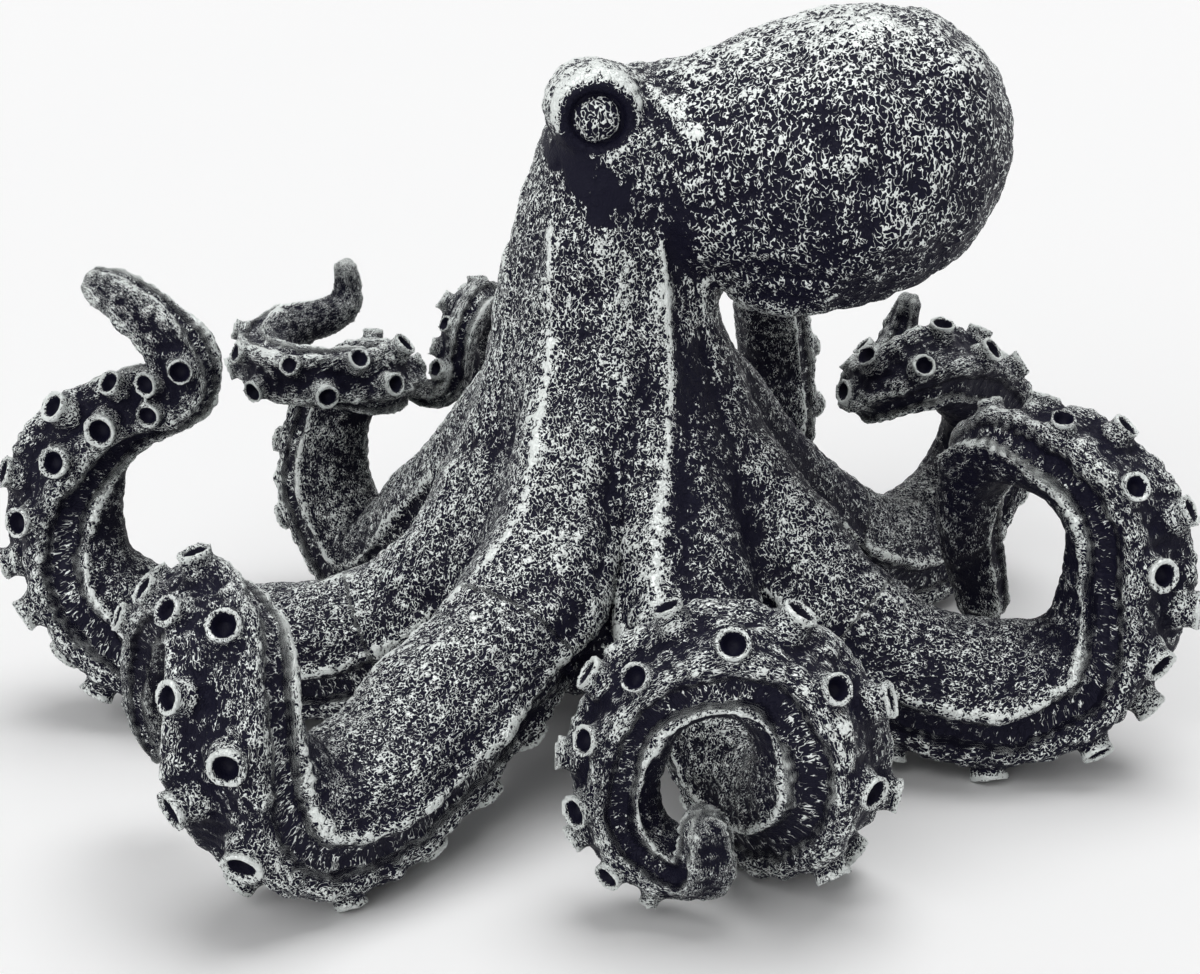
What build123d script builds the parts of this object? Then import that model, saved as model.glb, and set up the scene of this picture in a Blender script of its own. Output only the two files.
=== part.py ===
from build123d import *
import math
import os

os.makedirs("parts", exist_ok=True)

# A cold cast resin octopus that stands on its curled arms. The body is one casting: mantle, head,
# eyes, neck, web and eight short arm roots. Each arm is a casting of its own, because no mould
# lets go of eight closed curls at once. Every arm is pinned and glued to its root, face to face.
# X runs from the left arm to the mantle's end, Y away from the viewer, Z up from the table.

# Overall sizes, in millimetres
side_reach = 120
depth_reach = 100
figurine_height = 143

# The neck's axis, which stands a little beside the middle of the footprint
neck_x = 3.3
neck_y = 1.7

# Arms
arm_thickness = 27
route_steps = 26
root_step = 2
tip_steps = 2
least_arm_thickness = 4.6

# Sucker cups
cup_least_radius = 1.5
cup_growth_share = 0.16
cup_full_radius = 3.6
cup_stand = 2.4
cup_sink = 1.4
cup_rim_share = 0.96
cup_hollow_share = 0.72
cup_hollow_depth = 1.8
cup_sides = 6
cup_pitch_share = 1.95
cup_row_share = 0.43
cup_foot_share = 0.92
cup_splay = 18

# Dowel pins in the arm joints
pin_diameter = 4
pin_length = 16
pin_clearance = 0.1
pin_end_clearance = 0.3

# Neck and web, one elliptical section a row: height, forward shift and the two half widths
neck_sides = 16
neck_half_width = 19
neck_section_shares = [
    (0.915, 0.10, 0.22, 0.34),
    (0.880, 0.14, 0.52, 0.62),
    (0.800, 0.10, 0.76, 0.86),
    (0.665, 0.06, 1.00, 0.97),
    (0.555, 0.10, 1.20, 1.14),
    (0.400, 0.12, 1.60, 1.50),
    (0.280, 0.10, 2.00, 1.88),
    (0.180, 0.12, 2.15, 2.05),
    (0.110, 0.12, 1.80, 1.80),
]

# Mantle, one round section a row: distance along the bulb, height of its middle, half width
mantle_sides = 24
mantle_length = 94
mantle_half_width = 28
mantle_front = -15.5
mantle_section_shares = [
    (0.035, 0.785, 0.20),
    (0.120, 0.790, 0.44),
    (0.250, 0.792, 0.62),
    (0.400, 0.790, 0.80),
    (0.530, 0.795, 0.935),
    (0.660, 0.801, 0.995),
    (0.780, 0.806, 0.965),
    (0.880, 0.812, 0.80),
    (0.955, 0.820, 0.53),
    (0.990, 0.825, 0.26),
]
lip_length = 34
lip_width = 30
lip_rise = 7
lip_spread_share = 1.3
lip_shift_share = 0.345
lip_height_share = 0.610

# Eyes: a domed brow on each side of the head, a sunk socket and the eyeball in it
brow_radius = 9.6
brow_height = 12
brow_sides = 16
dome_shares = [(0, 1.0), (0.45, 0.94), (0.75, 0.76), (0.92, 0.54), (1.0, 0.34)]
eye_socket_radius = 5.6
eye_socket_depth = 3.2
eyeball_radius = 4.4
eyeball_height = 3.4
eye_x = -0.4
near_eye_shares = (-0.05, 0.868)
far_eye_shares = (0.05, 0.842)

# Shape of an arm's section, from the crown of its back round one flank to the sucker side
crown_share = 1.0
half_section_shares = [
    (0.62, 0.80),
    (1.00, 0.12),
    (0.90, -0.36),
    (0.64, -0.80),
]
sole_share = -0.96

# Routes of the arms, from inside the neck to the tip. A row holds the shares of side_reach,
# depth_reach, figurine_height and arm_thickness, and then the roll of the sucker side in degrees.
# The seam is the station where the arm's own casting begins, as a share of the route.
arms = {
    "front_left_arm": (0.36, [
        (-0.040, -0.06, 0.680, 0.52, 0),
        (-0.050, -0.16, 0.480, 0.78, 0),
        (-0.105, -0.36, 0.270, 0.96, 0),
        (-0.220, -0.57, 0.175, 1.00, 0),
        (-0.335, -0.74, 0.119, 1.00, 0),
        (-0.430, -0.84, 0.112, 0.97, 10),
        (-0.500, -0.88, 0.195, 0.90, 42),
        (-0.510, -0.87, 0.295, 0.82, 50),
        (-0.540, -0.77, 0.350, 0.68, 58),
        (-0.610, -0.66, 0.330, 0.54, 60),
        (-0.665, -0.60, 0.255, 0.43, 52),
        (-0.680, -0.58, 0.180, 0.34, 44),
        (-0.670, -0.58, 0.120, 0.24, 40),
    ]),
    "front_arm": (0.35, [
        (0.075, -0.06, 0.640, 0.50, 0),
        (0.115, -0.18, 0.430, 0.78, 0),
        (0.145, -0.35, 0.250, 0.94, 0),
        (0.200, -0.54, 0.127, 0.94, 0),
        (0.270, -0.73, 0.100, 0.92, 10),
        (0.312, -0.86, 0.195, 0.86, 35),
        (0.265, -0.88, 0.300, 0.78, 45),
        (0.163, -0.88, 0.332, 0.70, 46),
        (0.068, -0.87, 0.285, 0.64, 45),
        (0.023, -0.86, 0.188, 0.59, 45),
        (0.057, -0.87, 0.090, 0.54, 48),
        (0.126, -0.91, 0.072, 0.46, 60),
        (0.144, -0.97, 0.152, 0.33, 60),
    ]),
    "right_arm": (0.33, [
        (0.100, -0.02, 0.640, 0.50, 0),
        (0.160, -0.08, 0.450, 0.78, 0),
        (0.280, -0.16, 0.280, 0.96, 0),
        (0.450, -0.26, 0.150, 1.00, 0),
        (0.640, -0.30, 0.109, 1.00, -8),
        (0.775, -0.29, 0.138, 0.94, -36),
        (0.832, -0.27, 0.250, 0.88, -66),
        (0.815, -0.24, 0.358, 0.80, -66),
        (0.725, -0.19, 0.422, 0.66, -58),
        (0.635, -0.12, 0.408, 0.54, -10),
        (0.608, -0.04, 0.315, 0.48, 35),
        (0.632, 0.00, 0.215, 0.44, 42),
        (0.650, 0.02, 0.148, 0.39, 42),
    ]),
    "rear_right_arm": (0.34, [
        (0.110, 0.04, 0.600, 0.50, 0),
        (0.200, 0.14, 0.400, 0.78, 0),
        (0.340, 0.28, 0.220, 0.92, 0),
        (0.500, 0.44, 0.106, 0.94, 0),
        (0.620, 0.58, 0.106, 0.92, 0),
        (0.705, 0.66, 0.180, 0.84, 0),
        (0.725, 0.66, 0.275, 0.76, 0),
        (0.670, 0.56, 0.360, 0.68, -5),
        (0.570, 0.46, 0.392, 0.62, -25),
        (0.505, 0.46, 0.365, 0.50, -24),
        (0.510, 0.60, 0.355, 0.38, -5),
        (0.560, 0.70, 0.400, 0.30, 0),
        (0.577, 0.72, 0.445, 0.22, 0),
    ]),
    "rear_arm": (0.36, [
        (0.050, 0.08, 0.600, 0.50, 0),
        (0.085, 0.24, 0.400, 0.78, 0),
        (0.135, 0.44, 0.215, 0.88, 0),
        (0.215, 0.63, 0.087, 0.88, 0),
        (0.305, 0.79, 0.140, 0.80, 0),
        (0.338, 0.86, 0.260, 0.68, 0),
        (0.325, 0.85, 0.400, 0.58, 0),
        (0.285, 0.78, 0.510, 0.50, 0),
        (0.220, 0.68, 0.540, 0.40, 0),
        (0.190, 0.62, 0.480, 0.30, 0),
    ]),
    "rear_left_arm": (0.36, [
        (-0.020, 0.08, 0.600, 0.50, 0),
        (-0.055, 0.24, 0.400, 0.76, 0),
        (-0.110, 0.44, 0.215, 0.86, 0),
        (-0.165, 0.64, 0.086, 0.86, 0),
        (-0.200, 0.80, 0.140, 0.74, 0),
        (-0.212, 0.85, 0.280, 0.58, 0),
        (-0.205, 0.80, 0.400, 0.46, 0),
        (-0.235, 0.70, 0.450, 0.38, 0),
        (-0.262, 0.65, 0.395, 0.33, 0),
        (-0.285, 0.64, 0.325, 0.28, 0),
        (-0.330, 0.65, 0.315, 0.24, 0),
        (-0.365, 0.66, 0.350, 0.20, 0),
    ]),
    "left_rear_arm": (0.33, [
        (-0.070, 0.03, 0.600, 0.50, 0),
        (-0.170, 0.16, 0.370, 0.74, 0),
        (-0.310, 0.34, 0.184, 0.84, 0),
        (-0.432, 0.50, 0.085, 0.84, 0),
        (-0.507, 0.57, 0.180, 0.72, 0),
        (-0.500, 0.59, 0.285, 0.64, 0),
        (-0.452, 0.58, 0.350, 0.60, -12),
        (-0.385, 0.50, 0.375, 0.56, -45),
        (-0.430, 0.40, 0.395, 0.51, -74),
        (-0.545, 0.37, 0.408, 0.48, -100),
        (-0.610, 0.47, 0.420, 0.44, -112),
        (-0.560, 0.60, 0.438, 0.38, -125),
        (-0.475, 0.65, 0.462, 0.29, -145),
        (-0.470, 0.66, 0.515, 0.20, -150),
    ]),
    "left_arm": (0.36, [
        (-0.080, -0.02, 0.600, 0.50, 0),
        (-0.170, -0.09, 0.325, 0.80, 0),
        (-0.335, -0.13, 0.158, 0.94, 0),
        (-0.520, -0.12, 0.111, 1.00, 0),
        (-0.710, -0.06, 0.111, 1.00, 10),
        (-0.852, -0.02, 0.172, 0.93, 30),
        (-0.895, 0.02, 0.280, 0.84, 58),
        (-0.850, 0.04, 0.390, 0.72, 86),
        (-0.740, 0.02, 0.450, 0.60, 92),
        (-0.672, -0.02, 0.505, 0.52, 125),
        (-0.718, -0.02, 0.565, 0.44, 150),
        (-0.813, 0.00, 0.619, 0.28, 160),
    ]),
}


def section_points(half_thickness):
    """The closed outline of an arm's section, its crown towards +Y of the section plane."""
    flank = [(u * half_thickness, v * half_thickness) for u, v in half_section_shares]
    crown = (0, crown_share * half_thickness)
    sole = (0, sole_share * half_thickness)
    other_flank = [(-u, v) for u, v in reversed(flank)]
    return [crown, *flank, sole, *other_flank]


def route_stations(route_shares):
    """Planes, half thicknesses and the sucker side's roll at even steps along an arm."""
    points = [
        (neck_x + x * side_reach, neck_y + y * depth_reach, z * figurine_height)
        for x, y, z, _, _ in route_shares
    ]
    with BuildLine() as route:
        Spline(*points)
    line = route.edge()
    knots = [line.param_at_point(point) for point in points]
    outward = Vector(*points[3]) - Vector(*points[0])
    back = Vector(outward.X, outward.Y, 0)
    stations = []
    for step in range(route_steps + 1):
        share = step / route_steps
        tangent = line.tangent_at(share)
        back = (back - tangent * back.dot(tangent)).normalized()
        after = next((i for i, knot in enumerate(knots[:-1]) if i and knot >= share), len(knots) - 1)
        span = (share - knots[after - 1]) / (knots[after] - knots[after - 1])
        girth, roll = (
            before * (1 - span) + behind * span
            for before, behind in zip(route_shares[after - 1][3:], route_shares[after][3:])
        )
        plane = Plane(line.position_at(share), x_dir=back.cross(tangent), z_dir=tangent)
        stations.append((plane, max(girth * arm_thickness, least_arm_thickness) / 2, roll))
    return stations


def dome(plane, radius, height, sides):
    """A low round dome that stands on the XY of its plane."""
    with BuildPart() as shell:
        for rise_share, radius_share in dome_shares:
            with BuildSketch(plane.offset(rise_share * height)):
                RegularPolygon(radius * radius_share, sides)
        loft(ruled=True)
    return shell.part


def sucker_places(stations):
    """Planes and radii of the cups, in two rows that take turns along the arm's sucker side."""
    places = []
    walked = 0
    due = 0
    side = 1
    soles = [(plane.rotated((0, 0, roll)), half) for plane, half, roll in stations]
    for (plane, half), (following, half_following) in zip(soles, soles[1:]):
        stretch = (following.origin - plane.origin).length
        radius = cup_least_radius + cup_growth_share * half
        while due <= walked + stretch:
            share = (due - walked) / stretch
            middle = plane.origin + (following.origin - plane.origin) * share
            out = (plane.y_dir * (share - 1) - following.y_dir * share).normalized()
            across = (plane.x_dir * (1 - share) + following.x_dir * share).normalized()
            girth = half * (1 - share) + half_following * share
            foot = middle + out * (girth * cup_foot_share) + across * (side * girth * cup_row_share)
            lean = out.rotate(Axis((0, 0, 0), plane.z_dir), side * cup_splay)
            places.append((Plane(foot, x_dir=plane.z_dir, z_dir=lean), radius))
            due += radius * cup_pitch_share
            side = -side
        walked += stretch
    return places


routes = {name: route_stations(route_shares) for name, (_, route_shares) in arms.items()}
seams = {name: round(seam_share * route_steps) for name, (seam_share, _) in arms.items()}
seam_planes = {name: stations[seams[name]][0] for name, stations in routes.items()}

# One sucker cup of full size: a short drum with a round hollow, standing on XY
with BuildPart() as cup:
    with BuildSketch(Plane.XY.offset(-cup_sink)):
        RegularPolygon(cup_full_radius, cup_sides)
    with BuildSketch(Plane.XY.offset(cup_stand)):
        RegularPolygon(cup_full_radius * cup_rim_share, cup_sides)
    loft(ruled=True)
    with BuildSketch(Plane.XY.offset(cup_stand)) as mouth:
        RegularPolygon(cup_full_radius * cup_hollow_share, cup_sides)
    loft([mouth.face(), Vertex(0, 0, cup_stand - cup_hollow_depth)], ruled=True, mode=Mode.SUBTRACT)

# Bores that the dowel pins sit in, one across each seam
with BuildPart() as bores:
    for seam_plane in seam_planes.values():
        with Locations(seam_plane.location):
            Cylinder(pin_diameter / 2 + pin_clearance, pin_length + 2 * pin_end_clearance)

# Dowel pins
with BuildPart() as pins:
    for seam_plane in seam_planes.values():
        with Locations(seam_plane.location):
            Cylinder(pin_diameter / 2, pin_length)
pins.part.label = "dowel_pins"
export_step(pins.part, "parts/dowel_pins.step")

# Arm castings, with their cups, cut flat where they stand on the table
for name, stations in routes.items():
    own = stations[seams[name]:]
    cups = [
        plane.location * scale(cup.part, by=radius / cup_full_radius)
        for plane, radius in sucker_places(own[1:-tip_steps])
    ]
    with BuildPart() as arm:
        for plane, half, _ in own:
            with BuildSketch(plane):
                Polygon(*section_points(half), align=None)
        loft(ruled=True)
        add(bores.part, mode=Mode.SUBTRACT)
        add(cups)
        split(bisect_by=Plane.XY, keep=Keep.TOP)
    arm.part.label = name
    export_step(arm.part, f"parts/{name}.step")

# Arm roots, which belong to the body casting
roots = []
for name, stations in routes.items():
    with BuildPart() as root:
        for plane, half, _ in stations[seams[name]::-root_step]:
            with BuildSketch(plane):
                Polygon(*section_points(half), align=None)
        loft(ruled=True)
    roots.append(root.part)

# Eyes: a brow dome on either side of the head, with a socket sunk in it and the eyeball inside
brows = []
sockets = []
eyeballs = []
for depth_share, height_share in (near_eye_shares, far_eye_shares):
    outward = math.copysign(1, depth_share)
    foot = (neck_x + eye_x, neck_y + depth_share * depth_reach, height_share * figurine_height)
    eye_plane = Plane(foot, x_dir=(1, 0, 0), z_dir=(0, outward, 0))
    brows.append(dome(eye_plane, brow_radius, brow_height, brow_sides))
    socket_plane = eye_plane.offset(brow_height - eye_socket_depth)
    with BuildPart() as socket:
        with BuildSketch(socket_plane):
            RegularPolygon(eye_socket_radius, brow_sides)
        extrude(amount=brow_height)
    sockets.append(socket.part)
    eyeballs.append(dome(socket_plane, eyeball_radius, eyeball_height, brow_sides))

# Body casting
with BuildPart() as body:
    for height_share, shift_share, side_share, depth_share in neck_section_shares:
        with BuildSketch(Plane.XY.offset(height_share * figurine_height)):
            with Locations((neck_x + shift_share * neck_half_width, neck_y)):
                Polygon(
                    *[
                        (
                            side_share * neck_half_width * math.cos(2 * math.pi * i / neck_sides),
                            depth_share * neck_half_width * math.sin(2 * math.pi * i / neck_sides),
                        )
                        for i in range(neck_sides)
                    ],
                    align=None,
                )
    loft(ruled=True)
    for along_share, height_share, girth_share in mantle_section_shares:
        along = neck_x + mantle_front + along_share * mantle_length
        across_plane = Plane(
            (along, neck_y, height_share * figurine_height), x_dir=(0, 1, 0), z_dir=(1, 0, 0)
        )
        with BuildSketch(across_plane):
            RegularPolygon(girth_share * mantle_half_width, mantle_sides)
    loft(ruled=True)
    for rise, spread_share in ((0, 1), (lip_rise, lip_spread_share)):
        with BuildSketch(Plane.XY.offset(lip_height_share * figurine_height + rise)):
            with Locations((neck_x + lip_shift_share * side_reach, neck_y)):
                Ellipse(lip_length / 2 * spread_share, lip_width / 2 * spread_share)
    loft()
    add([*roots, *brows])
    add(sockets, mode=Mode.SUBTRACT)
    add(eyeballs)
    add(bores.part, mode=Mode.SUBTRACT)
body.part.label = "body_casting"
export_step(body.part, "parts/body_casting.step")
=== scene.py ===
import math

import bmesh
import bpy
import numpy as np
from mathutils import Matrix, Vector


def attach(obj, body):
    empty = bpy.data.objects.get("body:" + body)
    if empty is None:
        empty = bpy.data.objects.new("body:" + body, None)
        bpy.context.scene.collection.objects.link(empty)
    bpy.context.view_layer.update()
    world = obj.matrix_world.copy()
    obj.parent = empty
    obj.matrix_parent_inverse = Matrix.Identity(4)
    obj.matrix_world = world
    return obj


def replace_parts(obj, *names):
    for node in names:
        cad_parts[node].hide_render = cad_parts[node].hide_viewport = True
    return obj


# Looks for the octopus figurine. The whole animal is sculpted once as one skin, with its cups,
# web, eyes and worm-like grain, and the skin is then cut at the glue seams into the body casting
# and its eight arms. One paint, near-black under dry-brushed silver, covers all of them.
# Lengths are in millimetres in the CAD frame until the meshes are made.

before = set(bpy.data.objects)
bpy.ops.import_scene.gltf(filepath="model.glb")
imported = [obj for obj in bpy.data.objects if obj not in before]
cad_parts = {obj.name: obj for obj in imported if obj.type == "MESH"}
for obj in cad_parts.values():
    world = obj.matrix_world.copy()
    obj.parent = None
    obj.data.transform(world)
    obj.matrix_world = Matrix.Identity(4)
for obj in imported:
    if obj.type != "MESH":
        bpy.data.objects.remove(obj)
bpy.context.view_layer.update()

MM = 0.001

# Overall sizes, which the routes' shares are taken of
SIDE_REACH = 120
DEPTH_REACH = 100
HEIGHT = 143
NECK = np.array([3.3, 1.7, 0.0])
ARM_THICKNESS = 27
LEAST_HALF = 2.3

# Steps along a route: the stations that the cups and seams are counted in, and the finer ones
STATIONS = 26
FINE = 5

# Skin: mesh size of the whole and of its core, and how many times each is blurred
VOXEL = 0.62
CORE_VOXEL = 1.6
CORE_BLURS = 14
SKIN_BLURS = 3
CUP_SHARPNESS = 0.7
FLOOR = 0.0

# How far from its route, in half thicknesses, the skin is still an arm's, and from which share
# of the route on an arm has its own flanks and sole
ARM_REACH = 1.8
ARM_OWN = (0.24, 0.32)

# Cups
CUP_LEAST_RADIUS = 1.5
CUP_GROWTH = 0.16
CUP_FULL_RADIUS = 3.6
CUP_STAND = 2.4
CUP_PITCH = 1.95
CUP_ROW = 0.43
CUP_FOOT = 0.92
CUP_SPLAY = math.radians(18)
CUP_SIDES = 24
CUP_SIZE_SPREAD = 0.10
CUP_TILT_SPREAD = 0.07
CUPLESS_TIP_STATIONS = 2

# A cup's turned profile, from the foot up the wall, over the lip and down into the hollow:
# shares of its radius and of its stand
CUP_PROFILE = [
    (1.22, -0.90), (1.12, -0.10), (0.95, 0.35), (0.92, 0.80), (1.02, 1.10), (1.10, 1.32),
    (1.02, 1.50), (0.86, 1.50), (0.72, 1.30), (0.62, 0.75), (0.52, 0.25), (0.28, 0.05),
]

# Where a cup's lip, hollow and surroundings are: shares of its radius from its middle, and of
# its stand above its foot
CUP_SPAN = (-0.6, 1.8)
LIP_INSIDE = (0.60, 0.72)
LIP_OUTSIDE = (1.04, 1.16)
LIP_BOTTOM = (0.75, 1.15)
HOLLOW_WALL = (0.58, 0.74)
HOLLOW_TOP = (1.0, 1.35)
CUP_GROUND = (1.0, 1.5)

# Half of an arm's section, crown to sole: a rounded back, a ridge on the flank, a recessed band
HALF_SECTION = [
    (0.00, 1.00), (0.22, 0.97), (0.42, 0.90), (0.60, 0.79), (0.75, 0.63), (0.87, 0.43),
    (0.95, 0.24), (1.03, 0.14), (1.02, 0.05), (0.91, -0.02), (0.83, -0.14), (0.79, -0.32),
    (0.79, -0.50), (0.84, -0.66), (0.84, -0.76), (0.72, -0.87), (0.55, -0.90), (0.30, -0.84),
    (0.00, -0.80),
]

# Routes, as in the CAD source: seam share, then rows of side, depth, height and girth shares and
# the roll of the sucker side in degrees
ARMS = {
    "front_left_arm": (0.36, [
        (-0.040, -0.06, 0.680, 0.52, 0), (-0.050, -0.16, 0.480, 0.78, 0),
        (-0.105, -0.36, 0.270, 0.96, 0), (-0.220, -0.57, 0.175, 1.00, 0),
        (-0.335, -0.74, 0.119, 1.00, 0), (-0.430, -0.84, 0.112, 0.97, 10),
        (-0.500, -0.88, 0.195, 0.90, 42), (-0.510, -0.87, 0.295, 0.82, 50),
        (-0.540, -0.77, 0.350, 0.68, 58), (-0.610, -0.66, 0.330, 0.54, 60),
        (-0.665, -0.60, 0.255, 0.43, 52), (-0.680, -0.58, 0.180, 0.34, 44),
        (-0.670, -0.58, 0.120, 0.24, 40),
    ]),
    "front_arm": (0.35, [
        (0.075, -0.06, 0.640, 0.50, 0), (0.115, -0.18, 0.430, 0.78, 0),
        (0.145, -0.35, 0.250, 0.94, 0), (0.200, -0.54, 0.127, 0.94, 0),
        (0.270, -0.73, 0.100, 0.92, 10), (0.312, -0.86, 0.195, 0.86, 35),
        (0.265, -0.88, 0.300, 0.78, 45), (0.163, -0.88, 0.332, 0.70, 46),
        (0.068, -0.87, 0.285, 0.64, 45), (0.023, -0.86, 0.188, 0.59, 45),
        (0.057, -0.87, 0.090, 0.54, 48), (0.126, -0.91, 0.072, 0.46, 60),
        (0.144, -0.97, 0.152, 0.33, 60),
    ]),
    "right_arm": (0.33, [
        (0.100, -0.02, 0.640, 0.50, 0), (0.160, -0.08, 0.450, 0.78, 0),
        (0.280, -0.16, 0.280, 0.96, 0), (0.450, -0.26, 0.150, 1.00, 0),
        (0.640, -0.30, 0.109, 1.00, -8), (0.775, -0.29, 0.138, 0.94, -36),
        (0.832, -0.27, 0.250, 0.88, -66), (0.815, -0.24, 0.358, 0.80, -66),
        (0.725, -0.19, 0.422, 0.66, -58), (0.635, -0.12, 0.408, 0.54, -10),
        (0.608, -0.04, 0.315, 0.48, 35), (0.632, 0.00, 0.215, 0.44, 42),
        (0.650, 0.02, 0.148, 0.39, 42),
    ]),
    "rear_right_arm": (0.34, [
        (0.110, 0.04, 0.600, 0.50, 0), (0.200, 0.14, 0.400, 0.78, 0),
        (0.340, 0.28, 0.220, 0.92, 0), (0.500, 0.44, 0.106, 0.94, 0),
        (0.620, 0.58, 0.106, 0.92, 0), (0.705, 0.66, 0.180, 0.84, 0),
        (0.725, 0.66, 0.275, 0.76, 0), (0.670, 0.56, 0.360, 0.68, -5),
        (0.570, 0.46, 0.392, 0.62, -25), (0.505, 0.46, 0.365, 0.50, -24),
        (0.510, 0.60, 0.355, 0.38, -5), (0.560, 0.70, 0.400, 0.30, 0),
        (0.577, 0.72, 0.445, 0.22, 0),
    ]),
    "rear_arm": (0.36, [
        (0.050, 0.08, 0.600, 0.50, 0), (0.085, 0.24, 0.400, 0.78, 0),
        (0.135, 0.44, 0.215, 0.88, 0), (0.215, 0.63, 0.087, 0.88, 0),
        (0.305, 0.79, 0.140, 0.80, 0), (0.338, 0.86, 0.260, 0.68, 0),
        (0.325, 0.85, 0.400, 0.58, 0), (0.285, 0.78, 0.510, 0.50, 0),
        (0.220, 0.68, 0.540, 0.40, 0), (0.190, 0.62, 0.480, 0.30, 0),
    ]),
    "rear_left_arm": (0.36, [
        (-0.020, 0.08, 0.600, 0.50, 0), (-0.055, 0.24, 0.400, 0.76, 0),
        (-0.110, 0.44, 0.215, 0.86, 0), (-0.165, 0.64, 0.086, 0.86, 0),
        (-0.200, 0.80, 0.140, 0.74, 0), (-0.212, 0.85, 0.280, 0.58, 0),
        (-0.205, 0.80, 0.400, 0.46, 0), (-0.235, 0.70, 0.450, 0.38, 0),
        (-0.262, 0.65, 0.395, 0.33, 0), (-0.285, 0.64, 0.325, 0.28, 0),
        (-0.330, 0.65, 0.315, 0.24, 0), (-0.365, 0.66, 0.350, 0.20, 0),
    ]),
    "left_rear_arm": (0.33, [
        (-0.070, 0.03, 0.600, 0.50, 0), (-0.170, 0.16, 0.370, 0.74, 0),
        (-0.310, 0.34, 0.184, 0.84, 0), (-0.432, 0.50, 0.085, 0.84, 0),
        (-0.507, 0.57, 0.180, 0.72, 0), (-0.500, 0.59, 0.285, 0.64, 0),
        (-0.452, 0.58, 0.350, 0.60, -12), (-0.385, 0.50, 0.375, 0.56, -45),
        (-0.430, 0.40, 0.395, 0.51, -74), (-0.545, 0.37, 0.408, 0.48, -100),
        (-0.610, 0.47, 0.420, 0.44, -112), (-0.560, 0.60, 0.438, 0.38, -125),
        (-0.475, 0.65, 0.462, 0.29, -145), (-0.470, 0.66, 0.515, 0.20, -150),
    ]),
    "left_arm": (0.36, [
        (-0.080, -0.02, 0.600, 0.50, 0), (-0.170, -0.09, 0.325, 0.80, 0),
        (-0.335, -0.13, 0.158, 0.94, 0), (-0.520, -0.12, 0.111, 1.00, 0),
        (-0.710, -0.06, 0.111, 1.00, 10), (-0.852, -0.02, 0.172, 0.93, 30),
        (-0.895, 0.02, 0.280, 0.84, 58), (-0.850, 0.04, 0.390, 0.72, 86),
        (-0.740, 0.02, 0.450, 0.60, 92), (-0.672, -0.02, 0.505, 0.52, 125),
        (-0.718, -0.02, 0.565, 0.44, 150), (-0.813, 0.00, 0.619, 0.28, 160),
    ]),
}

# Neck: height, forward shift and the two half widths, as shares of NECK_HALF and HEIGHT
NECK_HALF = 19
NECK_ROWS = [
    (0.110, 0.12, 1.80, 1.80), (0.180, 0.12, 2.15, 2.05), (0.280, 0.10, 2.00, 1.88),
    (0.400, 0.12, 1.60, 1.50), (0.555, 0.10, 1.20, 1.14), (0.665, 0.06, 1.00, 0.97),
    (0.800, 0.10, 0.76, 0.86), (0.880, 0.14, 0.52, 0.62), (0.915, 0.10, 0.22, 0.34),
]
NECK_RINGS = 60
NECK_SIDES = 72

# Mantle: distance along the bulb, height of its middle and half width
MANTLE_LENGTH = 94
MANTLE_HALF = 28
MANTLE_FRONT = -15.5
MANTLE_ROWS = [
    (0.035, 0.785, 0.20), (0.120, 0.790, 0.44), (0.250, 0.792, 0.62), (0.400, 0.790, 0.80),
    (0.530, 0.795, 0.935), (0.660, 0.801, 0.995), (0.780, 0.806, 0.965), (0.880, 0.812, 0.80),
    (0.955, 0.820, 0.53), (0.990, 0.825, 0.26),
]
MANTLE_RINGS = 60

# Lip under the mantle
LIP_LENGTH = 34
LIP_WIDTH = 30
LIP_RISE = 7
LIP_SPREAD = 1.3
LIP_X = 0.345 * SIDE_REACH
LIP_Z = 0.610 * HEIGHT

# Eyes: places as depth and height shares, then the dome, the socket and the ball
EYE_X = -0.4
EYES = [(-0.05, 0.868), (0.05, 0.842)]
EYE_OVAL = 1.06
BROW_RADIUS = 9.6
BROW_HEIGHT = 12
DOME = [(0, 1.0), (0.45, 0.94), (0.75, 0.76), (0.92, 0.54), (1.0, 0.34)]
SOCKET_RADIUS = 6.0
SOCKET_DEPTH = 3.2
EYEBALL_RADIUS = 4.1
EYEBALL_HEIGHT = 2.8

# Raised rim round each eye, full above the eye and a share of that below it
RIM_RADIUS = 7.6
RIM_WIDTH = 1.7
RIM_RISE = 1.5
RIM_LOW_SHARE = 0.30

# Crown of the head, which fills the saddle between the brows
SADDLE = (EYE_X, 0, 0.855 * HEIGHT)
SADDLE_RADII = (8.6, 10, 8.8)

# Ridge that trails back from each brow, from one end to the other, beside the eye and above it
TRAIL = [(6.8, 6.2), (17.8, -2.2)]
TRAIL_WIDTH = 1.7
TRAIL_RISE = 0.9

# Random fields, as rows of wavelength, seed and height: the ragged edges of the smooth patch and
# of the flank ridges, and the lumps of the whole skin
PATCH_RAGGED = [(6, 21, 1.0), (2.2, 22, 0.8)]
FLANK_RAGGED = [(14, 31, 1.6), (5, 32, 0.9)]
LUMPS = [(17, 3, 0.30), (7, 5, 0.16)]

# Single fields, as wavelength and seed: worms in the skin, bumps on the soles, broken silver on
# edges and lips, and the patches of silver and painted highlight on the mantle's top
WORMS = (2.3, 7)
BUMPS = (5.5, 9)
BROKEN = (8, 41)
MANTLE_TOP_PATCHES = (34, 51)

# Smooth patch under the near eye: side and height of its two ends, its half width from where it
# is all smooth to where it ends, and how much of the paint's grain it takes away
PATCH = [(-3.4, 117.0), (4.2, 109.2)]
PATCH_HALF = (2.2, 5.0)
PATCH_SMOOTHNESS = 0.75

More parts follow.
